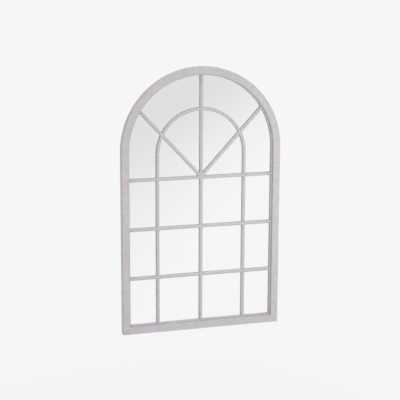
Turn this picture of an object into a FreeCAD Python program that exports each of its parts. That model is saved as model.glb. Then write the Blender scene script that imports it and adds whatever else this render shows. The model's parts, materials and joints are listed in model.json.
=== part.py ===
import FreeCAD, Part
import math
import os
import re
import Sketcher

# Arched window mirror, in millimetres.
# X runs to the right, Y into the wall, Z up. The origin is the middle of the
# frame's underside, so the room side is at negative Y and the wall at positive Y.

doc = FreeCAD.newDocument("arched_window_mirror")

# name, value, what it is
SIZES = [
    ("frameWidth", 800, "over the two stiles"),
    ("frameHeight", 1300, "underside of the rail to the crown of the arch"),
    ("faceWidth", 35, "frame tube, seen from the front"),
    ("frameDepth", 36, "frame tube, front to wall"),
    ("tubeWall", 1.5, "wall of the frame tube"),
    ("tubeEase", 1.5, "flat along each long corner of the frame tube"),
    ("barWidth", 16, "glazing bar, seen from the front"),
    ("barDepth", 10, "glazing bar, front to glass"),
    ("barBevel", 4, "bevel along both front edges of a bar, as deep as it is wide"),
    ("beadEase", 1, "flat along the front edge of the beads"),
    ("beadWidth", 6, "bead that the glass rests on, round the opening"),
    ("sideBarOffset", 219, "middle of the frame to the side bars"),
    ("lowBarHeight", 275, "underside to the middle of the lowest cross bar"),
    ("barPitch", 243.5, "from one cross bar to the next"),
    ("innerSpring", 877.5, "height at which the inner arch springs"),
    ("fanRise", 4, "middle of the top cross bar to where the diagonals would meet"),
    ("fanAngle", 47, "slope of the diagonals, degrees"),
    ("lapClearance", 0.1, "each side of a bar in the notch it crosses in"),
    ("paneThickness", 4, "mirror glass"),
    ("paneClearance", 2, "glass to frame, all round"),
    ("boardThickness", 6, "backing board"),
    ("boardClearance", 1, "board to frame, all round"),
    ("padLength", 50, "setting pad under the glass"),
    ("padOffset", 240, "middle of the frame to a setting pad"),
    ("buttonReach", 20, "turn button, pivot to the centre of its far end"),
    ("buttonWidth", 12, "turn button"),
    ("buttonClip", 3.5, "cut off each corner of a turn button"),
    ("buttonThickness", 1.2, "turn button"),
    ("buttonRib", 1.2, "height of the finger rib on a turn button"),
    ("ribWidth", 2, "finger rib on a turn button"),
    ("ribLength", 6, "finger rib on a turn button"),
    ("slideGap", 0.3, "turn button to the faces it slides between"),
    ("pivotGap", 0.15, "turn button to its screw, all round"),
    ("lowButtonHeight", 200, "lower turn button on each stile"),
    ("highButtonHeight", 620, "upper turn button on each stile"),
    ("archButtonAngle", 55, "turn button on the arch, degrees from level"),
    ("railButtonOffset", 190, "middle of the frame to a turn button on the rail"),
    ("shankRadius", 2, "screws"),
    ("headWidth", 7, "screw heads, across the flats"),
    ("headHeight", 2.2, "screw heads"),
    ("screwReach", 8, "screw point inside the tube, from its back face"),
    ("holeGap", 0.05, "screw to its hole in the tube, all round"),
    ("hangerDrop", 50, "springing of the arch to the eye of a hanger"),
    ("wireRadius", 1.5, "hanger ring"),
    ("eyeGap", 0.3, "ring wire to its eye, all round"),
    ("strapThickness", 1.2, "hanger strap"),
    ("strapWidth", 11, "hanger strap"),
    ("strapFoot", 6.5, "last hanger screw to the foot of the strap"),
    ("strapClip", 3, "cut off the corners at the foot of the strap"),
    ("screwBelowEye", 2.5, "roll of the strap to the head of the first screw"),
    ("screwBelowRing", 1.5, "ring to the head of the last screw"),
    ("ringHalfWidth", 9, "middle of the ring to the line of its legs"),
    ("ringLeg", 9, "straight length of a ring's leg, with its corner"),
    ("ringCorner", 3, "bend between a ring's bar and its legs"),
    ("bumperRadius", 7, "wall bumper"),
    ("bumperThickness", 4, "wall bumper"),
    ("bumperHeight", 60, "underside to a wall bumper"),
    ("cutMargin", 5, "how far a cutting profile runs past what it cuts"),
]

sheet = doc.addObject("Spreadsheet::Sheet", "Sizes")
for row, (alias, value, note) in enumerate(SIZES, start=1):
    sheet.set("A%d" % row, alias)
    sheet.set("B%d" % row, str(value))
    sheet.set("C%d" % row, note)
    sheet.setAlias("B%d" % row, alias)
doc.recompute()


def sized(text):
    """Turn the size names in a formula into references to the sheet."""
    aliases = {alias for alias, value, note in SIZES}
    return re.sub(r"[A-Za-z]+", lambda word: ("Sizes." if word[0] in aliases else "") + word[0], text)


def amount(text):
    """The number a formula gives now."""
    return float(sheet.evalExpression(sized(text)))


# Levels and lines that several pieces share.
SPRING = "( frameHeight - frameWidth / 2 )"
OPENING = "( frameWidth / 2 - faceWidth )"
BEAD_EDGE = "( frameWidth / 2 - faceWidth - beadWidth )"
TUBE_LINE = "( frameWidth / 2 - faceWidth / 2 )"
BACK = "( frameDepth / 2 )"
PANE_BACK = "( frameDepth / 2 - boardThickness )"
PANE_FRONT = "( frameDepth / 2 - boardThickness - paneThickness )"
BAR_FRONT = "( frameDepth / 2 - boardThickness - paneThickness - barDepth )"
HALF_BAR = "( barWidth / 2 )"
HALF_NOTCH = "( barWidth / 2 + lapClearance )"
CROSS_BARS = ("lower_cross_bar", "middle_cross_bar", "upper_cross_bar")
UPRIGHTS = ("left_bar", "centre_bar", "right_bar")
BAR_RISE = "( %d * barPitch )" % (len(CROSS_BARS) - 1)
TOP_BAR_HEIGHT = "( lowBarHeight + %s )" % BAR_RISE
FAN_HEIGHT = "( %s + fanRise )" % TOP_BAR_HEIGHT
HANGER_HEIGHT = "( %s - hangerDrop )" % SPRING
EYE_OFFSET = "( strapThickness + wireRadius + eyeGap )"
NEAR_SCREW = "( %s + screwBelowEye + headWidth / 2 )" % EYE_OFFSET
FAR_SCREW = "( ringLeg + ringHalfWidth + wireRadius + screwBelowRing + headWidth / 2 )"
HEAD_SEAT = "( buttonThickness + 2 * slideGap )"

SIDES = (("left", -1), ("right", 1))
FULL_TURN = 360
HEAD_SIDES = 6
# Flats that stand for the round of thin wire and of the screw shanks.
THIN_SIDES = 8
parts = []


def bind(item, path, formula):
    item.setExpression(path, sized(formula))


def place(item, x="0", y="0", z="0"):
    bind(item, "Placement.Base.x", x)
    bind(item, "Placement.Base.y", y)
    bind(item, "Placement.Base.z", z)


def new_body(name):
    body = doc.addObject("PartDesign::Body", name)
    body.Label = name
    return body


def origin_feature(body, role):
    for feature in body.Origin.OriginFeatures:
        if feature.Role == role:
            return feature
    raise RuntimeError("no " + role)


def new_sketch(body, name, plane):
    sketch = body.newObject("Sketcher::SketchObject", name)
    sketch.AttachmentSupport = (origin_feature(body, plane), [""])
    sketch.MapMode = "FlatFace"
    return sketch


def fix_point(sketch, geometry, end, across, up):
    """Hold one end of a sketch element at a place given by two formulas."""
    first = sketch.addConstraint(Sketcher.Constraint("DistanceX", -1, 1, geometry, end, amount(across)))
    sketch.setExpression("Constraints[%d]" % first, sized(across))
    second = sketch.addConstraint(Sketcher.Constraint("DistanceY", -1, 1, geometry, end, amount(up)))
    sketch.setExpression("Constraints[%d]" % second, sized(up))


def draw_polygon(sketch, corners):
    """A closed run of lines through corners, each a pair of formulas."""
    points = [FreeCAD.Vector(amount(across), amount(up), 0) for across, up in corners]
    lines = []
    for start, end in zip(points, points[1:] + points[:1]):
        lines.append(sketch.addGeometry(Part.LineSegment(start, end), False))
    for line, following in zip(lines, lines[1:] + lines[:1]):
        sketch.addConstraint(Sketcher.Constraint("Coincident", line, 2, following, 1))
    for line, (across, up) in zip(lines, corners):
        fix_point(sketch, line, 1, across, up)


def draw_box(sketch, left, bottom, right, top):
    draw_polygon(sketch, [(left, bottom), (right, bottom), (right, top), (left, top)])


def draw_circle(sketch, across, up, radius):
    centre = FreeCAD.Vector(amount(across), amount(up), 0)
    circle = sketch.addGeometry(Part.Circle(centre, FreeCAD.Vector(0, 0, 1), amount(radius)), False)
    fix_point(sketch, circle, 3, across, up)
    held = sketch.addConstraint(Sketcher.Constraint("Radius", circle, amount(radius)))
    sketch.setExpression("Constraints[%d]" % held, sized(radius))


def pad(body, sketch, length, both_ways=False, towards_wall=False):
    feature = body.newObject("PartDesign::Pad", sketch.Name + "_pad")
    feature.Profile = sketch
    bind(feature, "Length", length)
    feature.Midplane = both_ways
    feature.Reversed = towards_wall
    sketch.Visibility = False
    doc.recompute()
    return feature


def cut(body, sketch, depth=None, towards_room=False):
    """Cut a sketch out of a body: right through both ways, or to a depth along Y."""
    before = body.Shape.Volume
    feature = body.newObject("PartDesign::Pocket", sketch.Name + "_cut")
    feature.Profile = sketch
    if depth is None:
        feature.Type = "ThroughAll"
        feature.Midplane = True
    else:
        bind(feature, "Length", depth)
        feature.Reversed = towards_room
    doc.recompute()
    if not body.Shape.Volume < before:
        raise RuntimeError(sketch.Name + " cuts nothing")
    return feature


def bend(body, sketch):
    """Sweep a sketch through half a turn about the body's Y axis, over the top."""
    feature = body.newObject("PartDesign::Revolution", sketch.Name + "_bend")
    feature.Profile = sketch
    feature.ReferenceAxis = (origin_feature(body, "Y_Axis"), [""])
    feature.Angle = FULL_TURN / 2
    feature.Reversed = True
    doc.recompute()
    return feature


def draw_flats(sketch, sides, corner_radius):
    """A regular polygon about the sketch's origin, with a flat at its top and bottom."""
    corners = []
    for number in range(sides):
        angle = FULL_TURN * (number + 0.5) / sides + FULL_TURN / 4
        corners.append(("%s * cos( %g )" % (corner_radius, angle), "%s * sin( %g )" % (corner_radius, angle)))
    draw_polygon(sketch, corners)


def ease_edges(body, size, wanted):
    """Cut a flat along the edges for which wanted(edge) holds."""
    tip = body.Tip
    names = []
    for number, edge in enumerate(tip.Shape.Edges, start=1):
        if wanted(edge):
            names.append("Edge%d" % number)
    feature = body.newObject("PartDesign::Chamfer", body.Name + "_ease")
    feature.Base = (tip, names)
    bind(feature, "Size", size)
    doc.recompute()
    return feature


def near(value, target):
    return abs(value - target) < 1e-4


def spans(edge, axis):
    """How far an edge runs along X, Y or Z."""
    box = edge.BoundBox
    return {"x": box.XLength, "y": box.YLength, "z": box.ZLength}[axis]


def at_depth(edge, depth):
    """True for an edge that lies all at one Y."""
    return near(edge.BoundBox.YMin, depth) and near(edge.BoundBox.YMax, depth)


# The frame tube.

def tube_outline(sketch, inner, outer):
    """Section of the tube between two X formulas, hollow by the wall."""
    draw_box(sketch, inner, "-" + BACK, outer, BACK)
    draw_box(sketch, inner + " + tubeWall", "tubeWall - " + BACK,
             outer + " - tubeWall", BACK + " - tubeWall")


def drill_back(body, spots):
    """Screw holes through the wall of the tube that faces the room's wall."""
    sketch = new_sketch(body, body.Name + "_holes", "XZ_Plane")
    bind(sketch, "AttachmentOffset.Base.z", "-" + BACK)
    for across, up in spots:
        draw_circle(sketch, across, up, "shankRadius + holeGap")
    cut(body, sketch, "2 * tubeWall", towards_room=True)


def make_stile(name, side):
    body = new_body(name)
    section = new_sketch(body, name + "_section", "XY_Plane")
    tube_outline(section, "-faceWidth / 2", "faceWidth / 2")
    pad(body, section, SPRING)
    half = amount("faceWidth / 2")
    ease_edges(body, "tubeEase", lambda edge: spans(edge, "z") > half
               and near(abs(edge.BoundBox.XMin), half))
    mitre = new_sketch(body, name + "_mitre", "XZ_Plane")
    outside = "%d * ( faceWidth / 2 + cutMargin )" % side
    inside = "%d * ( faceWidth / 2 + cutMargin )" % -side
    draw_polygon(mitre, [(outside, "-cutMargin"), (inside, "-cutMargin"), (inside, "faceWidth + cutMargin")])
    cut(body, mitre)
    heights = ["lowButtonHeight", "highButtonHeight"]
    heights.append(HANGER_HEIGHT + " - " + NEAR_SCREW)
    heights.append(HANGER_HEIGHT + " - " + FAR_SCREW)
    drill_back(body, [("0", height) for height in heights])
    place(body, x="%d * %s" % (side, TUBE_LINE))
    parts.append(body)


def make_bottom_rail():
    body = new_body("bottom_rail")
    section = new_sketch(body, "rail_section", "YZ_Plane")
    draw_box(section, "-" + BACK, "0", BACK, "faceWidth")
    draw_box(section, "tubeWall - " + BACK, "tubeWall", BACK + " - tubeWall", "faceWidth - tubeWall")
    pad(body, section, "frameWidth", both_ways=True)
    depth = amount(BACK)
    ease_edges(body, "tubeEase", lambda edge: spans(edge, "x") > 2 * depth
               and near(abs(edge.BoundBox.YMin), depth))
    for word, side in SIDES:
        mitre = new_sketch(body, word + "_rail_mitre", "XZ_Plane")
        outside = "%d * ( frameWidth / 2 + cutMargin )" % side
        inside = "%d * ( frameWidth / 2 - faceWidth - cutMargin )" % side
        top = "faceWidth + cutMargin"
        draw_polygon(mitre, [(outside, "-cutMargin"), (inside, top), (outside, top)])
        cut(body, mitre)
    drill_back(body, [("%d * railButtonOffset" % side, "faceWidth / 2") for word, side in SIDES])
    place(body)
    parts.append(body)


def arch_spot(side):
    """Where the turn button on one side of the arch pivots, about the arch's centre."""
    return ("%d * %s * cos( archButtonAngle )" % (side, TUBE_LINE), TUBE_LINE + " * sin( archButtonAngle )")


def make_arch_head():
    body = new_body("arch_head")
    section = new_sketch(body, "arch_section", "XY_Plane")
    tube_outline(section, OPENING, "frameWidth / 2")
    bend(body, section)
    depth = amount(BACK)
    ease_edges(body, "tubeEase", lambda edge: spans(edge, "z") > depth
               and near(abs(edge.BoundBox.YMin), depth) and at_depth(edge, edge.BoundBox.YMin))
    drill_back(body, [arch_spot(side) for word, side in SIDES])
    place(body, z=SPRING)
    parts.append(body)


# The beads that the glass lies against.

def make_side_bead(name, side):
    body = new_body(name)
    section = new_sketch(body, name + "_section", "XY_Plane")
    near_edge = "%d * %s" % (side, BEAD_EDGE)
    far_edge = "%d * %s" % (side, OPENING)
    left, right = (far_edge, near_edge) if side < 0 else (near_edge, far_edge)
    draw_box(section, left, "0", right, "barDepth")
    pad(body, section, SPRING + " - faceWidth - beadWidth")
    inner = side * amount(BEAD_EDGE)
    width = amount("beadWidth")
    ease_edges(body, "beadEase", lambda edge: spans(edge, "z") > width
               and at_depth(edge, 0) and near(edge.BoundBox.XMin, inner))
    place(body, y=BAR_FRONT, z="faceWidth + beadWidth")
    parts.append(body)


def make_bottom_bead():
    body = new_body("bottom_bead")
    section = new_sketch(body, "bottom_bead_section", "YZ_Plane")
    draw_box(section, "0", "0", "barDepth", "beadWidth")
    pad(body, section, "2 * " + OPENING, both_ways=True)
    top = amount("beadWidth")
    ease_edges(body, "beadEase", lambda edge: spans(edge, "x") > top
               and at_depth(edge, 0) and near(edge.BoundBox.ZMin, top))
    place(body, y=BAR_FRONT, z="faceWidth")
    parts.append(body)


def make_arch_bead():
    body = new_body("arch_bead")
    section = new_sketch(body, "arch_bead_section", "XY_Plane")
    draw_box(section, BEAD_EDGE, "0", OPENING, "barDepth")
    bend(body, section)
    inner = amount(BEAD_EDGE)
    ease_edges(body, "beadEase", lambda edge: at_depth(edge, 0) and near(edge.BoundBox.ZMax, inner))
    place(body, y=BAR_FRONT, z=SPRING)
    parts.append(body)


# The glazing bars, halved together at the depth of their bevels. Where bars cross, the
# cross bars and the inner arch keep their bevelled front, and the upright bars and the
# diagonals, coped to those bevels, keep their square back.

def front_print(middle):
    """Corners, across and in depth, of a crossing bar's bevelled front with its clearance."""
    ridge = "( %s - barBevel )" % HALF_NOTCH
    return [(middle + " - " + HALF_NOTCH, "barBevel"), (middle + " - " + ridge, "0"),
            (middle + " - " + ridge, "-cutMargin"), (middle + " + " + ridge, "-cutMargin"),
            (middle + " + " + ridge, "0"), (middle + " + " + HALF_NOTCH, "barBevel")]


def side_print(middle, side, beyond):
    """Corners, across and in depth, of all that lies on one side of a bar, and the bar itself."""
    edge = "%s - %d * %s" % (middle, side, HALF_NOTCH)
    ridge = "%s - %d * ( %s - barBevel )" % (middle, side, HALF_NOTCH)
    return [(edge, "barDepth + cutMargin"), (edge, "barBevel"), (ridge, "0"), (ridge, "-cutMargin"),
            (beyond, "-cutMargin"), (beyond, "barDepth + cutMargin")]


def upended(corners):
    """The same corners for a sketch whose X axis runs in depth."""
    return [(depth, across) for across, depth in corners]


def make_upright_bar(name, across, top):
    """A bar from the bottom bead to a height, coped in front to the cross bars."""
    body = new_body(name)
    section = new_sketch(body, name + "_section", "XY_Plane")
    draw_box(section, "-" + HALF_BAR, "0", HALF_BAR, "barDepth")
    foot = "( faceWidth + beadWidth )"
    pad(body, section, top + " - " + foot)
    width = amount("barWidth")
    ease_edges(body, "barBevel", lambda edge: spans(edge, "z") > width and at_depth(edge, 0))
    notch = new_sketch(body, name + "_notch", "YZ_Plane")
    draw_polygon(notch, upended(front_print("lowBarHeight - " + foot)))
    repeat(body, cut(body, notch), "Z_Axis", BAR_RISE, len(CROSS_BARS))
    place(body, x=across, y=BAR_FRONT, z=foot)
    return body


def repeat(body, feature, axis, length, count):
    """Repeat a cut along an axis, count times over a length."""
    pattern = body.newObject("PartDesign::LinearPattern", feature.Name + "_row")
    pattern.Originals = [feature]
    pattern.Direction = (origin_feature(body, axis), [""])
    bind(pattern, "Length", length)
    pattern.Occurrences = count
    body.Tip = pattern
    doc.recompute()
    return pattern


def cope_to_arch(body, height):
    """Cut the bevelled front of the inner arch out of a bar, the arch springing at a height."""
    before = body.Shape.Volume
    profile = new_sketch(body, body.Name + "_arch_notch", "XY_Plane")
    bind(profile, "AttachmentOffset.Base.z", height)
    draw_polygon(profile, front_print("sideBarOffset"))
    groove = body.newObject("PartDesign::Groove", body.Name + "_cope")
    groove.Profile = profile
    groove.ReferenceAxis = (profile, ["V_Axis"])
    groove.Angle = FULL_TURN / 2
    groove.Reversed = True
    doc.recompute()
    if not body.Shape.Volume < before:
        raise RuntimeError(body.Name + " isn't coped")


def make_centre_bar():
    """The middle bar is square-ended where its corners meet the arch's bead."""
    top = "( %s + sqrt( %s ^ 2 - %s ^ 2 ) )" % (SPRING, BEAD_EDGE, HALF_BAR)
    body = make_upright_bar("centre_bar", "0", top)
    cope_to_arch(body, "innerSpring - faceWidth - beadWidth")
    parts.append(body)


def make_cross_bar(name, step):
    """A bar from bead to bead, notched behind for the three upright bars."""
    body = new_body(name)
    section = new_sketch(body, name + "_section", "YZ_Plane")
    draw_box(section, "0", "-" + HALF_BAR, "barDepth", HALF_BAR)
    pad(body, section, "2 * " + BEAD_EDGE, both_ways=True)
    width = amount("barWidth")
    ease_edges(body, "barBevel", lambda edge: spans(edge, "x") > width and at_depth(edge, 0))
    notch = new_sketch(body, name + "_notch", "XY_Plane")
    draw_box(notch, "-sideBarOffset - " + HALF_NOTCH, "barBevel",
             "-sideBarOffset + " + HALF_NOTCH, "barDepth + cutMargin")
    repeat(body, cut(body, notch), "X_Axis", "2 * sideBarOffset", len(UPRIGHTS))
    place(body, y=BAR_FRONT, z="lowBarHeight + %d * barPitch" % step)
    parts.append(body)


def strip_sketch(body, name, side, height):
    """A sketch whose X axis runs up one diagonal from the point where they would meet."""
    sketch = new_sketch(body, name, "XZ_Plane")
    angle = "fanAngle" if side > 0 else "180 - fanAngle"
    sketch.AttachmentOffset = FreeCAD.Placement(
        FreeCAD.Vector(0, amount(height), 0), FreeCAD.Rotation(FreeCAD.Vector(0, 0, 1), amount(angle)))
    bind(sketch, "AttachmentOffset.Base.y", height)
    bind(sketch, "AttachmentOffset.Rotation.Angle", angle)
    return sketch


def make_inner_arch():
    body = new_body("inner_arch")
    section = new_sketch(body, "inner_arch_section", "XY_Plane")
    draw_box(section, "sideBarOffset - " + HALF_BAR, "0", "sideBarOffset + " + HALF_BAR, "barDepth")
    bend(body, section)
    width = amount("barWidth")
    ease_edges(body, "barBevel", lambda edge: spans(edge, "z") > width and at_depth(edge, 0))
    crown = new_sketch(body, "crown_notch", "XY_Plane")
    draw_box(crown, "-" + HALF_NOTCH, "barBevel", HALF_NOTCH, "barDepth + cutMargin")
    cut(body, crown)
    for word, side in SIDES:
        strip = strip_sketch(body, word + "_fan_notch", side, FAN_HEIGHT + " - innerSpring")
        bind(strip, "AttachmentOffset.Base.z", "-barDepth")
        draw_box(strip, "0", "-" + HALF_NOTCH, "frameWidth / 2", HALF_NOTCH)
        cut(body, strip, "barDepth - barBevel", towards_room=True)
    place(body, y=BAR_FRONT, z="innerSpring")
    parts.append(body)


def make_diagonal(name, side):
    """A diagonal from the crossing of the centre and top bars to the arch's bead."""
    body = new_body(name)
    strip = strip_sketch(body, name + "_strip", side, FAN_HEIGHT)
    draw_box(strip, "0", "-" + HALF_BAR, "frameWidth", HALF_BAR)
    pad(body, strip, "barDepth", towards_wall=True)
    width = amount("barWidth")
    ease_edges(body, "barBevel", lambda edge: edge.Length > 2 * width and at_depth(edge, 0))
    beside = new_sketch(body, name + "_beside_centre_bar", "XY_Plane")
    draw_polygon(beside, side_print("0", -side, "%d * frameWidth" % -side))
    cut(body, beside)
    above = new_sketch(body, name + "_above_top_bar", "YZ_Plane")
    draw_polygon(above, upended(side_print(TOP_BAR_HEIGHT, -1, "0")))
    cut(body, above)
    end = new_sketch(body, name + "_end", "XZ_Plane")
    draw_circle(end, "0", SPRING, BEAD_EDGE)
    draw_circle(end, "0", SPRING, "frameWidth")
    cut(body, end)
    cope_to_arch(body, "innerSpring")
    place(body, y=BAR_FRONT)
    parts.append(body)


# The glass, its pads and the board behind it.

def make_sheet(name, clearance, thickness, front):
    """A flat sheet with the outline of the opening, less a clearance all round."""
    body = new_body(name)
    outline = new_sketch(body, name + "_outline", "XZ_Plane")
    reach = OPENING + " - " + clearance
    foot = "faceWidth + " + clearance
    half = amount(reach)
    spring = amount(SPRING)
    bottom_left = FreeCAD.Vector(-half, amount(foot), 0)
    bottom_right = FreeCAD.Vector(half, amount(foot), 0)
    top_left = FreeCAD.Vector(-half, spring, 0)
    top_right = FreeCAD.Vector(half, spring, 0)
    circle = Part.Circle(FreeCAD.Vector(0, spring, 0), FreeCAD.Vector(0, 0, 1), half)
    bottom = outline.addGeometry(Part.LineSegment(bottom_left, bottom_right), False)
    right = outline.addGeometry(Part.LineSegment(bottom_right, top_right), False)
    arc = outline.addGeometry(Part.ArcOfCircle(circle, 0, math.pi), False)
    left = outline.addGeometry(Part.LineSegment(top_left, bottom_left), False)
    for line, end, following, start in ((bottom, 2, right, 1), (right, 2, arc, 1), (arc, 2, left, 1),
                                        (left, 2, bottom, 1)):
        outline.addConstraint(Sketcher.Constraint("Coincident", line, end, following, start))
    fix_point(outline, bottom, 1, "-( " + reach + " )", foot)
    fix_point(outline, bottom, 2, reach, foot)
    fix_point(outline, arc, 3, "0", SPRING)
    outline.addConstraint(Sketcher.Constraint("Vertical", right))
    outline.addConstraint(Sketcher.Constraint("Horizontal", arc, 1, arc, 3))
    outline.addConstraint(Sketcher.Constraint("Horizontal", arc, 2, arc, 3))
    pad(body, outline, thickness, towards_wall=True)
    place(body, y=front)
    parts.append(body)


def make_group(name, members):
    """Identical pieces that share one node."""
    group = doc.addObject("Part::Compound", name)
    group.Label = name
    group.Links = members
    parts.append(group)


def make_setting_pads():
    pads = []
    for word, side in SIDES:
        block = doc.addObject("Part::Box", word + "_setting_pad")
        bind(block, "Length", "padLength")
        bind(block, "Width", "paneThickness")
        bind(block, "Height", "paneClearance")
        place(block, x="%d * padOffset - padLength / 2" % side, y=PANE_FRONT, z="faceWidth")
        pads.append(block)
    make_group("setting_pads", pads)


# The turn buttons that hold the board in.

def make_screw(name, seat, x, y, z):
    """A hexagon head screw along Y, its seat above the back of the tube."""
    body = new_body(name)
    shank = new_sketch(body, name + "_shank", "XZ_Plane")
    bind(shank, "AttachmentOffset.Base.z", "screwReach")
    draw_flats(shank, THIN_SIDES, "shankRadius")
    pad(body, shank, "screwReach + " + seat, towards_wall=True)
    head = new_sketch(body, name + "_head", "XZ_Plane")
    bind(head, "AttachmentOffset.Base.z", "-" + seat)
    draw_flats(head, HEAD_SIDES, "headWidth / sqrt( 3 )")
    pad(body, head, "headHeight", towards_wall=True)
    place(body, x, y, z)
    return body


def button_places():
    """Name, pivot and turn of each button: its far end points into the opening at rest."""
    places = []
    for word, side in SIDES:
        stile = "%d * %s" % (side, TUBE_LINE)
        places.append(("lower_%s_button" % word, stile, "lowButtonHeight", "%d * 90" % -side))
        places.append(("upper_%s_button" % word, stile, "highButtonHeight", "%d * 90" % -side))
        across, up = arch_spot(side)
        places.append((word + "_arch_button", across, SPRING + " + " + up,
                       "%d * ( 90 + archButtonAngle )" % -side))
        places.append((word + "_rail_button", "%d * railButtonOffset" % side, "faceWidth / 2", "0"))
    return places


def make_turn_button(name, x, z, angle):
    """A stamped plate that turns on a screw in the frame, with a rib for the finger."""
    body = new_body(name)
    plate = new_sketch(body, name + "_plate", "XZ_Plane")
    draw_clipped_plate(plate, "buttonReach", "buttonWidth / 2")
    pad(body, plate, "buttonThickness", towards_wall=True)
    bore = new_sketch(body, name + "_bore", "XZ_Plane")
    draw_circle(bore, "0", "0", "shankRadius + pivotGap")
    cut(body, bore)
    rib = new_sketch(body, name + "_rib", "XZ_Plane")
    draw_box(rib, "-ribLength / 2", "buttonReach - ribWidth / 2", "ribLength / 2",
             "buttonReach + ribWidth / 2")
    pad(body, rib, "buttonThickness + buttonRib", towards_wall=True)
    place(body, x, BACK + " + slideGap", z)
    body.Placement.Rotation = FreeCAD.Rotation(FreeCAD.Vector(0, 1, 0), amount(angle))
    bind(body, "Placement.Rotation.Angle", angle)
    parts.append(body)


def draw_clipped_plate(sketch, reach, half):
    """A plate from the origin to a reach up the sketch, half its width more at each end."""
    top = "%s + %s" % (reach, half)
    corners = []
    for word, side in SIDES:
        across = "%d * %s" % (side, half)
        across_clip = "%d * ( %s - buttonClip )" % (side, half)
        ends = [(across_clip, "-" + half), (across, "buttonClip - " + half),
                (across, top + " - buttonClip"), (across_clip, top)]
        corners += ends if side > 0 else ends[::-1]
    draw_polygon(sketch, corners)


# The hangers and the wall bumpers.

def make_hanger_strap(name, side):
    """A strap screwed to the stile, rolled into an eye for the ring at its top."""
    body = new_body(name)
    profile = new_sketch(body, name + "_profile", "YZ_Plane")
    foot = FAR_SCREW + " + strapFoot"
    draw_box(profile, "0", "-( %s )" % foot, "strapThickness", "0")
    pad(body, profile, "strapWidth", both_ways=True)
    roll = new_sketch(body, name + "_roll", "YZ_Plane")
    draw_circle(roll, EYE_OFFSET, "0", EYE_OFFSET)
    pad(body, roll, "strapWidth", both_ways=True)
    eye = new_sketch(body, name + "_eye", "YZ_Plane")
    draw_circle(eye, EYE_OFFSET, "0", "wireRadius + eyeGap")
    cut(body, eye)
    bottom = -amount(foot)
    thickness = amount("strapThickness")
    ease_edges(body, "strapClip", lambda edge: near(edge.BoundBox.ZMax, bottom)
               and near(edge.Length, thickness))
    holes = new_sketch(body, name + "_holes", "XZ_Plane")
    for drop in (NEAR_SCREW, FAR_SCREW):
        draw_circle(holes, "0", "-" + drop, "shankRadius + pivotGap")
    cut(body, holes, "2 * strapThickness")
    place(body, "%d * %s" % (side, TUBE_LINE), BACK, HANGER_HEIGHT)
    parts.append(body)


def make_hanger_ring(name, side):
    """A D of wire that hangs from the eye by its straight bar."""
    body = new_body(name)
    path = new_sketch(body, name + "_path", "XZ_Plane")
    half = amount("ringHalfWidth")
    leg = amount("ringLeg")
    corner = amount("ringCorner")
    flat = FreeCAD.Vector(0, 0, 1)
    bend = half - corner
    bow = Part.ArcOfCircle(Part.Circle(FreeCAD.Vector(0, -leg, 0), flat, half), math.pi, 2 * math.pi)
    right_bend = Part.ArcOfCircle(Part.Circle(FreeCAD.Vector(bend, -corner, 0), flat, corner), 0, math.pi / 2)
    left_bend = Part.ArcOfCircle(Part.Circle(FreeCAD.Vector(-bend, -corner, 0), flat, corner), math.pi / 2,
                                 math.pi)
    curves = [Part.LineSegment(FreeCAD.Vector(bend, 0, 0), FreeCAD.Vector(-bend, 0, 0)), left_bend,
              Part.LineSegment(FreeCAD.Vector(-half, -corner, 0), FreeCAD.Vector(-half, -leg, 0)), bow,
              Part.LineSegment(FreeCAD.Vector(half, -leg, 0), FreeCAD.Vector(half, -corner, 0)), right_bend]
    bar, first, down, bottom, up, last = [path.addGeometry(curve, False) for curve in curves]
    for line, end, following, start in ((bar, 2, first, 1), (first, 2, down, 1), (down, 2, bottom, 1),
                                        (bottom, 2, up, 1), (up, 2, last, 1), (last, 2, bar, 1)):
        path.addConstraint(Sketcher.Constraint("Tangent", line, end, following, start))
    path.addConstraint(Sketcher.Constraint("Equal", first, last))
    fix_point(path, bottom, 3, "0", "-ringLeg")
    for arc, radius in ((bottom, "ringHalfWidth"), (last, "ringCorner")):
        held = path.addConstraint(Sketcher.Constraint("Radius", arc, amount(radius)))
        path.setExpression("Constraints[%d]" % held, sized(radius))
    path.addConstraint(Sketcher.Constraint("PointOnObject", -1, 1, bar))
    wire = new_sketch(body, name + "_wire", "YZ_Plane")
    draw_flats(wire, THIN_SIDES, "wireRadius")
    sweep = body.newObject("PartDesign::AdditivePipe", name + "_sweep")
    sweep.Profile = wire
    sweep.Spine = (path, ["Edge%d" % number for number in range(1, len(curves) + 1)])
    doc.recompute()
    place(body, "%d * %s" % (side, TUBE_LINE), BACK + " + " + EYE_OFFSET, HANGER_HEIGHT)
    parts.append(body)


def make_bumpers():
    bumpers = []
    for word, side in SIDES:
        disc = doc.addObject("Part::Cylinder", word + "_bumper")
        bind(disc, "Radius", "bumperRadius")
        bind(disc, "Height", "bumperThickness")
        disc.Placement.Rotation = FreeCAD.Rotation(FreeCAD.Vector(1, 0, 0), -90)
        place(disc, "%d * %s" % (side, TUBE_LINE), BACK, "bumperHeight")
        bumpers.append(disc)
    make_group("wall_bumpers", bumpers)


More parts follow.
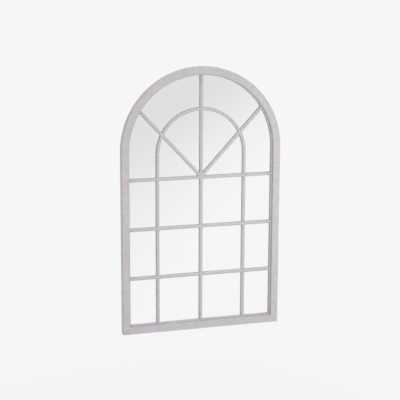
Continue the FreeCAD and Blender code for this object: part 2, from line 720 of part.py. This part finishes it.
make_stile("left_stile", -1)
make_stile("right_stile", 1)
make_bottom_rail()
make_arch_head()
for word, side in SIDES:
    make_side_bead(word + "_bead", side)
make_bottom_bead()
make_arch_bead()
make_centre_bar()
for word, side in SIDES:
    parts.append(make_upright_bar(word + "_bar", "%d * sideBarOffset" % side, "innerSpring"))
for step, name in enumerate(CROSS_BARS):
    make_cross_bar(name, step)
make_inner_arch()
for word, side in SIDES:
    make_diagonal(word + "_diagonal", side)
make_sheet("mirror_pane", "paneClearance", "paneThickness", PANE_FRONT)
make_setting_pads()
make_sheet("backing_board", "boardClearance", "boardThickness", PANE_BACK)
for name, x, z, angle in button_places():
    make_turn_button(name, x, z, angle)
make_group("button_screws", [make_screw(name + "_screw", HEAD_SEAT, x, BACK, z)
                             for name, x, z, angle in button_places()])
for word, side in SIDES:
    make_hanger_strap(word + "_hanger_strap", side)
    make_hanger_ring(word + "_hanger_ring", side)
make_group("hanger_screws", [make_screw("%s_%s_screw" % (word, place_word), "strapThickness",
                                        "%d * %s" % (side, TUBE_LINE), BACK, HANGER_HEIGHT + " - " + drop)
                             for word, side in SIDES
                             for place_word, drop in (("near", NEAR_SCREW), ("far", FAR_SCREW))])
make_bumpers()
doc.recompute()

for item in doc.Objects:
    if "Invalid" in item.State or "Error" in item.State:
        raise RuntimeError("failed: " + item.Label)
os.makedirs("parts", exist_ok=True)
for part in parts:
    shape = part.Shape
    if shape.isNull() or not shape.isValid():
        raise RuntimeError("bad shape: " + part.Label)
    shape.exportStep("parts/%s.step" % part.Label)
    box = shape.BoundBox
    corners = (box.XMin, box.XMax, box.YMin, box.YMax, box.ZMin, box.ZMax)
    print("%-20s %9.1f mm3  %d solid" % (part.Label, shape.Volume, len(shape.Solids)),
          " x %.1f %.1f  y %.1f %.1f  z %.1f %.1f" % corners)
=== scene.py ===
import json
import math
import bmesh
import bpy
from mathutils import Matrix, Vector

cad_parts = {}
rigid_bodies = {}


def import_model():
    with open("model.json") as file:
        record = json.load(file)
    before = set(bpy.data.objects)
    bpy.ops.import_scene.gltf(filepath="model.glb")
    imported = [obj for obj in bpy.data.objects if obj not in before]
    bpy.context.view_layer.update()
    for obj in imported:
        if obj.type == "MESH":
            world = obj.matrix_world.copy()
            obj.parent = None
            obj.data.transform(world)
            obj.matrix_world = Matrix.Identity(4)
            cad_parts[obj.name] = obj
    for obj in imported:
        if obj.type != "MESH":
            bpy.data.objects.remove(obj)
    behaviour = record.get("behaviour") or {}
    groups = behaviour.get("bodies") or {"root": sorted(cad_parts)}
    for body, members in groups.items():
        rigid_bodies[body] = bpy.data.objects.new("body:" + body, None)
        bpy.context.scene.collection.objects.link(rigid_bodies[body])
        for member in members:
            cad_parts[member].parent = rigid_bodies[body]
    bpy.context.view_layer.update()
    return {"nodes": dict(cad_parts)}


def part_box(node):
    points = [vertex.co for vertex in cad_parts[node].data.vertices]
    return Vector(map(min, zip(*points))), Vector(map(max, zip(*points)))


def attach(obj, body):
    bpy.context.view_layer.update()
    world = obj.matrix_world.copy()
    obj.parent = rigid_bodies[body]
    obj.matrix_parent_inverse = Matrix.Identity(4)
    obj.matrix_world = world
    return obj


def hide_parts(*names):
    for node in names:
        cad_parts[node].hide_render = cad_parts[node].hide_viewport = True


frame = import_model()
nodes = frame["nodes"]
print("frame loaded:", len(nodes), "nodes")


# The camera stands to the left of the mirror, above it, and looks down on it.
shot = {
    "place": (-1.66997, -5.42771, 1.87304),
    "turn": 17.0425,               # degrees to the right of straight ahead
    "tilt": 12.1641,               # degrees below level
    "roll": 0.2259,
    "lens": 107.18,                # millimetres, as the sensor
    "sensor": 36.0,
    "nearest": 0.05,
    "farthest": 500.0,
}


def makeCamera():
    data = bpy.data.cameras.new("camera")
    data.lens = shot["lens"]
    data.sensor_width = shot["sensor"]
    data.clip_start = shot["nearest"]
    data.clip_end = shot["farthest"]
    camera = bpy.data.objects.new("camera", data)
    turn = Matrix.Rotation(-math.radians(shot["turn"]), 4, "Z")
    tilt = Matrix.Rotation(math.radians(90 - shot["tilt"]), 4, "X")
    roll = Matrix.Rotation(math.radians(shot["roll"]), 4, "Z")
    camera.matrix_world = Matrix.Translation(shot["place"]) @ turn @ tilt @ roll
    bpy.context.scene.collection.objects.link(camera)
    bpy.context.scene.camera = camera


makeCamera()
print("camera placed")


# Short ways to build a node tree.
def newMaterial(name):
    material = bpy.data.materials.new(name)
    material.use_nodes = True
    tree = material.node_tree
    return material, tree, tree.nodes["Principled BSDF"]


def addNode(tree, kind, sockets=None, **settings):
    node = tree.nodes.new(kind)
    for name, value in settings.items():
        setattr(node, name, value)
    for socket, value in (sockets or {}).items():
        node.inputs[socket].default_value = value
    return node


def link(tree, source, output, target, socket):
    tree.links.new(source.outputs[output], target.inputs[socket])


# A noise is given as its scale, its detail and its roughness.
def addNoise(tree, coords, noise, stretch=None):
    scale, detail, roughness = noise
    sockets = {"Scale": scale, "Detail": detail, "Roughness": roughness}
    clouds = addNode(tree, "ShaderNodeTexNoise", sockets)
    if stretch:
        mapping = addNode(tree, "ShaderNodeMapping", {"Scale": stretch})
        link(tree, coords, "Object", mapping, "Vector")
        link(tree, mapping, "Vector", clouds, "Vector")
    else:
        link(tree, coords, "Object", clouds, "Vector")
    return clouds


# What runs from start to end becomes a value from low to high; most of a noise lies in 0.35 to 0.65.
def addRange(tree, source, output, low, high, start=0.35, end=0.65):
    sockets = {"From Min": start, "From Max": end, "To Min": low, "To Max": high}
    spread = addNode(tree, "ShaderNodeMapRange", sockets, interpolation_type="SMOOTHSTEP")
    link(tree, source, output, spread, "Value")
    return spread


# Two colours mixed by a factor that comes from another node; either colour may be a node too.
def addMix(tree, factor, output, first, second, blend="MIX"):
    mix = addNode(tree, "ShaderNodeMix", data_type="RGBA", blend_type=blend)
    if isinstance(factor, float):
        mix.inputs[0].default_value = factor
    else:
        link(tree, factor, output, mix, 0)
    for socket, colour in ((6, first), (7, second)):
        if isinstance(colour, bpy.types.Node):
            made = 2 if colour.bl_idname == "ShaderNodeMix" else 0
            link(tree, colour, made, mix, socket)
        else:
            mix.inputs[socket].default_value = (*colour, 1)
    return mix


# A colour made darker and lighter, from the first tone to the second, in the clouds of a noise.
def addTones(tree, coords, colour, noise, tones):
    shades = addRange(tree, addNoise(tree, coords, noise), "Fac", *tones)
    return addMix(tree, 1.0, None, colour, shades, "MULTIPLY")


def addBump(tree, source, strength, distance, under=None):
    bump = addNode(tree, "ShaderNodeBump", {"Strength": strength, "Distance": distance})
    link(tree, source, "Fac", bump, "Height")
    if under:
        link(tree, under, "Normal", bump, "Normal")
    return bump


def addSoftEdge(tree, radius, samples=4):
    return addNode(tree, "ShaderNodeBevel", {"Radius": radius}, samples=samples)


# A pale studio: a floor far below the hanging mirror, with painted shade that darkens it to the left and in
# front, soft light from all round and from overhead, and a soft lamp in front of the mirror that lights the
# mirror alone.
studio = {
    "floorDrop": 0.9,              # the mirror hangs this far above the floor
    "floorSize": 400.0,
    "floorColour": (0.70, 0.70, 0.70),
    "floorPaintedShade": (0.565, 0.565, 0.565),  # painted shade: the floor far in front, painted darker as if out of the light
    "floorGlow": 0.12,
    "paintedShadeAlong": (0.318, 0.177),   # how fast the painted shade darkens the floor to the left and to the front
    "paintedShadeRange": (-1.33, -0.33),   # where it is darkest and where it is full
    "ambient": 0.50,
    "overhead": 1.40,
    "overheadSpread": 2.0,
    "lampPlace": (0.30, -1.27, 0.75),
    "lampSize": 0.3,
    "lampPower": 34.0,
}


def makeFloor():
    half = studio["floorSize"] / 2
    level = -studio["floorDrop"]
    corners = [(x, y, level) for x, y in ((-half, -half), (half, -half), (half, half), (-half, half))]
    mesh = bpy.data.meshes.new("floor")
    mesh.from_pydata(corners, [], [(0, 1, 2, 3)])
    floor = bpy.data.objects.new("floor", mesh)
    bpy.context.scene.collection.objects.link(floor)
    material, tree, shader = newMaterial("floor")
    shader.inputs["Roughness"].default_value = 1.0
    shader.inputs["Specular IOR Level"].default_value = 0.0
    shader.inputs["Emission Strength"].default_value = studio["floorGlow"]
    coords = addNode(tree, "ShaderNodeTexCoord")
    # Painted shade: the floor colour and its glow are painted darker towards the left and the front, as if
    # further from the lights.
    along = addNode(tree, "ShaderNodeVectorMath", {1: (*studio["paintedShadeAlong"], 0)}, operation="DOT_PRODUCT")
    link(tree, coords, "Object", along, 0)
    paintedFalloff = addRange(tree, along, "Value", 0, 1, *studio["paintedShadeRange"])
    colour = addMix(tree, paintedFalloff, "Result", studio["floorPaintedShade"], studio["floorColour"])
    link(tree, colour, 2, shader, "Base Color")
    link(tree, colour, 2, shader, "Emission Color")
    mesh.materials.append(material)


# The sky is even all round and grows brighter towards overhead.
def makeSky():
    world = bpy.data.worlds.new("studio")
    bpy.context.scene.world = world
    world.use_nodes = True
    tree = world.node_tree
    background = tree.nodes["Background"]
    background.inputs["Color"].default_value = (1, 1, 1, 1)
    coords = addNode(tree, "ShaderNodeTexCoord")
    parts = addNode(tree, "ShaderNodeSeparateXYZ")
    link(tree, coords, "Generated", parts, "Vector")
    above = addNode(tree, "ShaderNodeMath", {1: 0.0}, operation="MAXIMUM")
    link(tree, parts, "Z", above, 0)
    soft = addNode(tree, "ShaderNodeMath", {1: studio["overheadSpread"]}, operation="POWER")
    link(tree, above, "Value", soft, 0)
    strength = addNode(tree, "ShaderNodeMath", {1: studio["overhead"], 2: studio["ambient"]},
                       operation="MULTIPLY_ADD")
    link(tree, soft, "Value", strength, 0)
    link(tree, strength, "Value", background, "Strength")
    bpy.context.scene.view_settings.view_transform = "Standard"


def makeLamp():
    data = bpy.data.lights.new("frontLamp", "POINT")
    data.energy = studio["lampPower"]
    data.shadow_soft_size = studio["lampSize"]
    lamp = bpy.data.objects.new("frontLamp", data)
    lamp.location = studio["lampPlace"]
    lamp.visible_camera = False
    lamp.visible_glossy = False
    bpy.context.scene.collection.objects.link(lamp)
    lamp.light_linking.receiver_collection = bpy.data.collections.new("litByLamp")
    return lamp.light_linking.receiver_collection


makeFloor()
makeSky()
litByLamp = makeLamp()
print("studio built")


# Powder-coated steel: a lilac grey that drifts to a plainer grey, with a painted highlight that makes it
# paler along the edges.
paint = {
    "lilac": (0.458, 0.426, 0.458),
    "grey": (0.446, 0.434, 0.446),
    "drift": (11.0, 2, 0.5),
    "mottle": (42.0, 4, 0.6),
    "mottleTones": (0.955, 1.045),
    "fleck": (620.0, 1, 0.5),
    "fleckTones": (0.97, 1.03),
    "edgeRadius": 0.0012,
    "paintedEdgeHighlight": (0.60, 0.58, 0.60),
    "highlightShare": 0.35,             # how much of the painted edge highlight shows where the face bends
    "highlightBend": (0.90, 0.995),     # cosine of the bend where it all shows, and where none does
    "sheen": (71.4, 3, 0.5),
    "roughness": (0.42, 0.56),
    "grain": (950.0, 2, 0.5),      # the fine orange peel
    "grainStrength": 0.6,
    "grainDepth": 0.00008,
}


def makePaint():
    material, tree, shader = newMaterial("greyPaint")
    coords = addNode(tree, "ShaderNodeTexCoord")
    drift = addRange(tree, addNoise(tree, coords, paint["drift"]), "Fac", 0, 1)
    base = addMix(tree, drift, "Result", paint["grey"], paint["lilac"])
    base = addTones(tree, coords, base, paint["mottle"], paint["mottleTones"])
    base = addTones(tree, coords, base, paint["fleck"], paint["fleckTones"])
    rounded = addSoftEdge(tree, paint["edgeRadius"])
    surface = addNode(tree, "ShaderNodeNewGeometry")
    agree = addNode(tree, "ShaderNodeVectorMath", operation="DOT_PRODUCT")
    link(tree, rounded, "Normal", agree, 0)
    link(tree, surface, "Normal", agree, 1)
    # Painted highlight: a paler tone is mixed in where the rounded edge normal turns away from the face.
    edge = addRange(tree, agree, "Value", paint["highlightShare"], 0, *paint["highlightBend"])
    base = addMix(tree, edge, "Result", base, paint["paintedEdgeHighlight"])
    link(tree, base, 2, shader, "Base Color")
    sheen = addRange(tree, addNoise(tree, coords, paint["sheen"]), "Fac", *paint["roughness"])
    link(tree, sheen, "Result", shader, "Roughness")
    grain = addNoise(tree, coords, paint["grain"])
    bump = addBump(tree, grain, paint["grainStrength"], paint["grainDepth"], rounded)
    link(tree, bump, "Normal", shader, "Normal")
    return material


# The mirror: silvered glass in front, a green edge, grey paint over the silver behind.
mirror = {
    "silver": (0.990, 0.993, 0.991),
    "edge": (0.30, 0.48, 0.42),
    "back": (0.27, 0.29, 0.31),
    "streaks": (60.0, 3, 0.6),
    "streakTones": (0.94, 1.05),
    "squarely": 0.5,               # a face that looks along Y more than this is front or back
    "haze": (6.0, 4, 0.65),
    "polish": (0.004, 0.012),
    "edgeRoughness": 0.25,
    "backRoughness": 0.55,
}


def makeMirror():
    material, tree, shader = newMaterial("mirrorGlass")
    coords = addNode(tree, "ShaderNodeTexCoord")
    sides = addNode(tree, "ShaderNodeSeparateXYZ")
    link(tree, coords, "Normal", sides, "Vector")
    front = addNode(tree, "ShaderNodeMath", {1: -mirror["squarely"]}, operation="LESS_THAN")
    link(tree, sides, "Y", front, 0)
    back = addNode(tree, "ShaderNodeMath", {1: mirror["squarely"]}, operation="GREATER_THAN")
    link(tree, sides, "Y", back, 0)
    behind = addTones(tree, coords, mirror["back"], mirror["streaks"], mirror["streakTones"])
    rim = addMix(tree, back, "Value", mirror["edge"], behind)
    colour = addMix(tree, front, "Value", rim, mirror["silver"])
    link(tree, colour, 2, shader, "Base Color")
    link(tree, front, "Value", shader, "Metallic")
    rough = addNode(tree, "ShaderNodeMix", {2: mirror["edgeRoughness"], 3: mirror["backRoughness"]},
                    data_type="FLOAT")
    link(tree, back, "Value", rough, 0)
    haze = addRange(tree, addNoise(tree, coords, mirror["haze"]), "Fac", *mirror["polish"])
    polish = addNode(tree, "ShaderNodeMix", data_type="FLOAT")
    link(tree, front, "Value", polish, 0)
    link(tree, rough, 0, polish, 2)
    link(tree, haze, "Result", polish, 3)
    link(tree, polish, 0, shader, "Roughness")
    return material


# Pressed fibre board: warm brown, with paler fibres that stand and darker ones that lie.
board = {
    "light": (0.36, 0.245, 0.145),
    "dark": (0.235, 0.15, 0.085),
    "fibre": (0.47, 0.35, 0.23),
    "patches": (7.0, 5, 0.6),
    "patchShare": (0.25, 0.55),
    "fibres": (260.0, 4, 0.7),
    "fibreStretch": 0.16,          # the noise along a fibre against the noise across it
    "fibreRange": (0.52, 0.72),
    "paleShare": 0.35,
    "darkShare": 0.4,
    "roughness": (0.55, 0.75),
    "reliefStrength": 0.5,
    "relief": 0.00012,
}


def makeBoard():
    material, tree, shader = newMaterial("fibreBoard")
    coords = addNode(tree, "ShaderNodeTexCoord")
    patches = addRange(tree, addNoise(tree, coords, board["patches"]), "Fac", *board["patchShare"])
    base = addMix(tree, patches, "Result", board["light"], board["dark"])
    standing = ((1, 1, board["fibreStretch"]), board["fibre"], board["paleShare"])
    lying = ((board["fibreStretch"], 1, 1), board["dark"], board["darkShare"])
    layers = []
    bump = None
    for stretch, colour, share in (standing, lying):
        fibres = addNoise(tree, coords, board["fibres"], stretch)
        shown = addRange(tree, fibres, "Fac", 0, share, *board["fibreRange"])
        base = addMix(tree, shown, "Result", base, colour)
        bump = addBump(tree, fibres, board["reliefStrength"], board["relief"], bump)
        layers.append(fibres)
    link(tree, base, 2, shader, "Base Color")
    sheen = addRange(tree, layers[0], "Fac", *board["roughness"])
    link(tree, sheen, "Result", shader, "Roughness")
    link(tree, bump, "Normal", shader, "Normal")
    return material


# Bright zinc plating with a cloudy bloom and fine brush marks.
zinc = {
    "bright": (0.68, 0.69, 0.71),
    "blue": (0.56, 0.60, 0.66),
    "straw": (0.70, 0.66, 0.55),
    "bloom": (160.0, 3, 0.5),
    "blueShare": 0.8,
    "tarnish": (96.0, 2, 0.5),
    "tarnishRange": (0.5, 0.7),
    "strawShare": 0.25,
    "brush": (500.0, 4, 0.6),
    "brushStretch": (6.0, 6.0, 1.0),
    "roughness": (0.24, 0.42),
    "scratchStrength": 0.4,
    "scratchDepth": 0.00003,
    "edgeRadius": 0.0003,
}


def makeZinc():
    material, tree, shader = newMaterial("zincSteel")
    shader.inputs["Metallic"].default_value = 1.0
    coords = addNode(tree, "ShaderNodeTexCoord")
    bloom = addRange(tree, addNoise(tree, coords, zinc["bloom"]), "Fac", 0, zinc["blueShare"])
    base = addMix(tree, bloom, "Result", zinc["bright"], zinc["blue"])
    tarnish = addNoise(tree, coords, zinc["tarnish"])
    warm = addRange(tree, tarnish, "Fac", 0, zinc["strawShare"], *zinc["tarnishRange"])
    base = addMix(tree, warm, "Result", base, zinc["straw"])
    link(tree, base, 2, shader, "Base Color")
    brush = addNoise(tree, coords, zinc["brush"], zinc["brushStretch"])
    sheen = addRange(tree, brush, "Fac", *zinc["roughness"])
    link(tree, sheen, "Result", shader, "Roughness")
    rounded = addSoftEdge(tree, zinc["edgeRadius"])
    bump = addBump(tree, brush, zinc["scratchStrength"], zinc["scratchDepth"], rounded)
    link(tree, bump, "Normal", shader, "Normal")
    return material


# Moulded black rubber, dusty in its fine grain.
rubber = {
    "black": (0.022, 0.022, 0.023),
    "dust": (0.055, 0.054, 0.052),
    "dustClouds": (120.0, 4, 0.7),
    "roughness": (0.6, 0.85),
    "grain": (700.0, 2, 0.5),
    "grainStrength": 0.5,
    "grainDepth": 0.00008,
}


def makeRubber():
    material, tree, shader = newMaterial("blackRubber")
    coords = addNode(tree, "ShaderNodeTexCoord")
    dusty = addRange(tree, addNoise(tree, coords, rubber["dustClouds"]), "Fac", 0, 1)
    base = addMix(tree, dusty, "Result", rubber["black"], rubber["dust"])
    link(tree, base, 2, shader, "Base Color")
    sheen = addRange(tree, dusty, "Result", *rubber["roughness"], 0, 1)
    link(tree, sheen, "Result", shader, "Roughness")
    grain = addNoise(tree, coords, rubber["grain"])
    bump = addBump(tree, grain, rubber["grainStrength"], rubber["grainDepth"])
    link(tree, bump, "Normal", shader, "Normal")
    return material


finishes = {
    "grey_paint": makePaint(),
    "mirror_glass": makeMirror(),
    "board": makeBoard(),
    "zinc_steel": makeZinc(),
    "rubber": makeRubber(),
}


# Each node is delivered with a plain material named after its slot.
def dressNodes():
    for node in nodes.values():
        for place in node.material_slots:
            place.material = finishes[place.material.name.split(".")[0]]


dressNodes()
print("finishes made:", len(finishes))


# Small hardware, made finer than the solids it stands for.
def addPiece(name, mesh, body, slot, replaced, place=Matrix()):
    piece = bpy.data.objects.new(name, mesh)
    bpy.context.scene.collection.objects.link(piece)
    piece.matrix_world = place
    if not mesh.materials:
        mesh.materials.append(finishes[slot])
    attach(piece, body)
    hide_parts(replaced)


def finishMesh(builder, name):
    bmesh.ops.recalc_face_normals(builder, faces=builder.faces)
    mesh = bpy.data.meshes.new(name)
    builder.to_mesh(mesh)
    builder.free()
    return mesh


# Smooth, with a crease wherever two faces turn by more than the given degrees.
def smoothMesh(mesh, degrees):
    mesh.polygons.foreach_set("use_smooth", [True] * len(mesh.polygons))
    mesh.set_sharp_from_angle(angle=math.radians(degrees))


def turnsOf(sides):
    return [math.tau * side / sides for side in range(sides)]


# A body of revolution about Y, from (radius, height) pairs that run from its foot to its top.
def lathe(name, profile, sides, crease):
    builder = bmesh.new()
    rings = []
    for radius, height in profile:
        turns = turnsOf(sides) if radius else [0]
        spots = [(radius * math.cos(turn), height, radius * math.sin(turn)) for turn in turns]
        rings.append([builder.verts.new(spot) for spot in spots])
    for lower, upper in zip(rings, rings[1:]):
        for side in range(sides):
            following = (side + 1) % sides
            corners = [lower[side % len(lower)], lower[following % len(lower)],
                       upper[following % len(upper)], upper[side % len(upper)]]
            builder.faces.new(list(dict.fromkeys(corners)))
    mesh = finishMesh(builder, name)
    smoothMesh(mesh, crease)
    return mesh


# Round wire along a closed path that lies in a plane of constant Y.
def sweepWire(name, path, radius, sides, crease):
    builder = bmesh.new()
    across = Vector((0, 1, 0))
    rings = []
    for step, spot in enumerate(path):
        tangent = (path[(step + 1) % len(path)] - path[step - 1]).normalized()
        outward = tangent.cross(across)
        spots = [spot + radius * (math.cos(turn) * outward + math.sin(turn) * across)
                 for turn in turnsOf(sides)]
        rings.append([builder.verts.new(place) for place in spots])
    for lower, upper in zip(rings, rings[1:] + rings[:1]):
        for side in range(sides):
            following = (side + 1) % sides
            builder.faces.new((lower[side], lower[following], upper[following], upper[side]))
    mesh = finishMesh(builder, name)
    smoothMesh(mesh, crease)
    return mesh


# Points along an arc in a plane of constant Y; angles are in degrees from X towards Z.
def arc(centre, radius, start, end, steps):
    angles = [math.radians(start + (end - start) * step / steps) for step in range(steps + 1)]
    return [centre + radius * Vector((math.cos(angle), 0, math.sin(angle))) for angle in angles]


ring = {
    "wire": 0.0015,
    "corner": 0.003,
    "leg": 0.009,                  # from the straight bar down to the start of the bow
    "sides": 16,
    "cornerSteps": 6,
    "bowSteps": 28,
    "crease": 60,
}


def makeRing(side):
    low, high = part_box(side + "_hanger_ring")
    thick = (high.y - low.y) / 2
    middle = (low + high) / 2
    middle.z = high.z - thick
    half = (high.x - low.x) / 2 - thick
    corner = ring["corner"]
    path = []
    for shift, start in ((half - corner, 0), (corner - half, 90)):
        centre = middle + Vector((shift, 0, -corner))
        path += arc(centre, corner, start, start + 90, ring["cornerSteps"])
    path += arc(middle - Vector((0, 0, ring["leg"])), half, 180, 360, ring["bowSteps"])
    name = side + "_ring_wire"
    mesh = sweepWire(name, path, ring["wire"], ring["sides"], ring["crease"])
    addPiece(name, mesh, side + "_ring", "zinc_steel", side + "_hanger_ring")


screw = {
    "headRadius": 0.0034,
    "headHeight": 0.0021,
    "rimHeight": 0.0007,
    "seatShare": 0.97,             # the head's underside against its rim
    "seatLift": 0.0001,            # the rim starts this far above the seat
    "crownSteps": 6,
    "shankRadius": 0.0019,
    "pointRadius": 0.00114,
    "threadDepth": 0.00035,
    "threadPitch": 0.0009,
    "crest": 0.3,                  # where the thread is full and where it is cut, along its pitch
    "root": 0.8,
    "recessLength": 0.0038,
    "recessWidth": 0.0008,
    "recessDepth": 0.0012,
    "sides": 36,
    "crease": 35,
    "buttonTurn": 37,              # degrees from one screw's recess to the next
    "strapTurn": 61,
}


# From the point, at minus reach, to the crown of the pan head; the head sits at zero.
def screwProfile(reach):
    shank = screw["shankRadius"]
    pitch = screw["threadPitch"]
    profile = [(0, -reach), (screw["pointRadius"], -reach)]
    for turn in range(int(reach / pitch)):
        foot = turn * pitch - reach
        profile.append((shank, foot + pitch * screw["crest"]))
        profile.append((shank - screw["threadDepth"], foot + pitch * screw["root"]))
    head = screw["headRadius"]
    profile += [(shank, 0), (head * screw["seatShare"], 0), (head, screw["seatLift"])]
    rim = screw["rimHeight"]
    rise = screw["headHeight"] - rim
    for step in range(screw["crownSteps"]):
        angle = math.pi / 2 * step / screw["crownSteps"]
        profile.append((head * math.cos(angle), rim + rise * math.sin(angle)))
    profile.append((0, screw["headHeight"]))
    return profile


# Two crossed bars that stand in the crown of the head.
def makeRecess():
    builder = bmesh.new()
    size = Matrix.Diagonal((screw["recessLength"], 2 * screw["recessDepth"], screw["recessWidth"], 1))
    place = Matrix.Translation((0, screw["headHeight"], 0))
    for degrees in (0, 90):
        turned = Matrix.Rotation(math.radians(degrees), 4, "Y")
        bar = bmesh.ops.create_cube(builder, size=1)["verts"]
        bmesh.ops.transform(builder, matrix=place @ turned @ size, verts=bar)
    return finishMesh(builder, "recess")


def makeScrewMesh(reach):
    turned = lathe("screw", screwProfile(reach), screw["sides"], screw["crease"])
    body = bpy.data.objects.new("screwBody", turned)
    cutter = bpy.data.objects.new("recess", makeRecess())
    for item in (body, cutter):
        bpy.context.scene.collection.objects.link(item)
    cut = body.modifiers.new("recess", "BOOLEAN")
    cut.operation = "DIFFERENCE"
    cut.solver = "EXACT"
    cut.use_self = True
    cut.object = cutter
    bpy.context.view_layer.update()
    cutBody = body.evaluated_get(bpy.context.evaluated_depsgraph_get())
    mesh = bpy.data.meshes.new_from_object(cutBody)
    mesh.name = "screw"
    for item in (body, cutter):
        bpy.data.objects.remove(item)
    smoothMesh(mesh, screw["crease"])
    return mesh


sameSpot = 1e-6                    # corners nearer to each other than this are one


# The lowest and highest corner of each separate solid in a node, from left to right.
def looseSolids(node):
    builder = bmesh.new()
    builder.from_mesh(node.data)
    bmesh.ops.remove_doubles(builder, verts=builder.verts, dist=sameSpot)
    left = set(builder.verts)
    solids = []
    while left:
        island = [left.pop()]
        for vertex in island:
            for edge in vertex.link_edges:
                other = edge.other_vert(vertex)
                if other in left:
                    left.remove(other)
                    island.append(other)
        spots = [vertex.co for vertex in island]
        low, high = [Vector([end(spot[axis] for spot in spots) for axis in range(3)]) for end in (min, max)]
        solids.append((low, high))
    builder.free()
    return sorted(solids, key=lambda corners: (round(corners[0].x, 4), round(corners[0].z, 4)))


# Each screw is turned further than the one before, so that their recesses don't line up.
def makeScrews(node, word, turnStep):
    solids = looseSolids(nodes[node])
    low, high = solids[0]
    seat = high.y - screw["headHeight"] - screw["seatLift"]
    mesh = makeScrewMesh(seat - low.y)
    for number, (low, high) in enumerate(solids, 1):
        middle = (low + high) / 2
        turned = Matrix.Rotation(math.radians(turnStep * number), 4, "Y")
        place = Matrix.Translation((middle.x, seat, middle.z)) @ turned
        addPiece("%s_screw_%d" % (word, number), mesh, "frame", "zinc_steel", node, place)
    return len(solids)


bumper = {
    "footEase": 0.04,              # this and the next two are shares of the radius
    "dimpleRim": 0.45,
    "dimpleFloor": 0.36,
    "dimpleDepth": 0.0005,
    "shoulder": 0.0014,
    "shoulderSteps": 6,
    "sides": 48,
    "crease": 35,
}


def bumperProfile(radius, height):
    ease = radius * bumper["footEase"]
    curve = bumper["shoulder"]
    profile = [(0, 0), (radius - ease, 0), (radius, ease)]
    for step in range(bumper["shoulderSteps"] + 1):
        angle = math.pi / 2 * step / bumper["shoulderSteps"]
        profile.append((radius - curve + curve * math.cos(angle), height - curve + curve * math.sin(angle)))
    floor = height - bumper["dimpleDepth"]
    profile += [(radius * bumper["dimpleRim"], height), (radius * bumper["dimpleFloor"], floor), (0, floor)]
    return profile


def makeBumpers():
    for number, (low, high) in enumerate(looseSolids(nodes["wall_bumpers"]), 1):
        name = "wall_bumper_%d" % number
        profile = bumperProfile((high.x - low.x) / 2, high.y - low.y)
        mesh = lathe(name, profile, bumper["sides"], bumper["crease"])
        middle = (low + high) / 2
        place = Matrix.Translation((middle.x, low.y, middle.z))
        addPiece(name, mesh, "frame", "rubber", "wall_bumpers", place)


for side in ("left", "right"):
    makeRing(side)
boardScrews = makeScrews("button_screws", "button", screw["buttonTurn"])
strapScrews = makeScrews("hanger_screws", "strap", screw["strapTurn"])
makeBumpers()
print("hardware made:", boardScrews + strapScrews, "screws, 2 rings, 2 bumpers")


# The lamp lights every piece of the mirror and leaves the floor to the sky.
def lightPieces():
    for piece in bpy.data.objects:
        if piece.type == "MESH" and piece.name != "floor":
            litByLamp.objects.link(piece)


lightPieces()
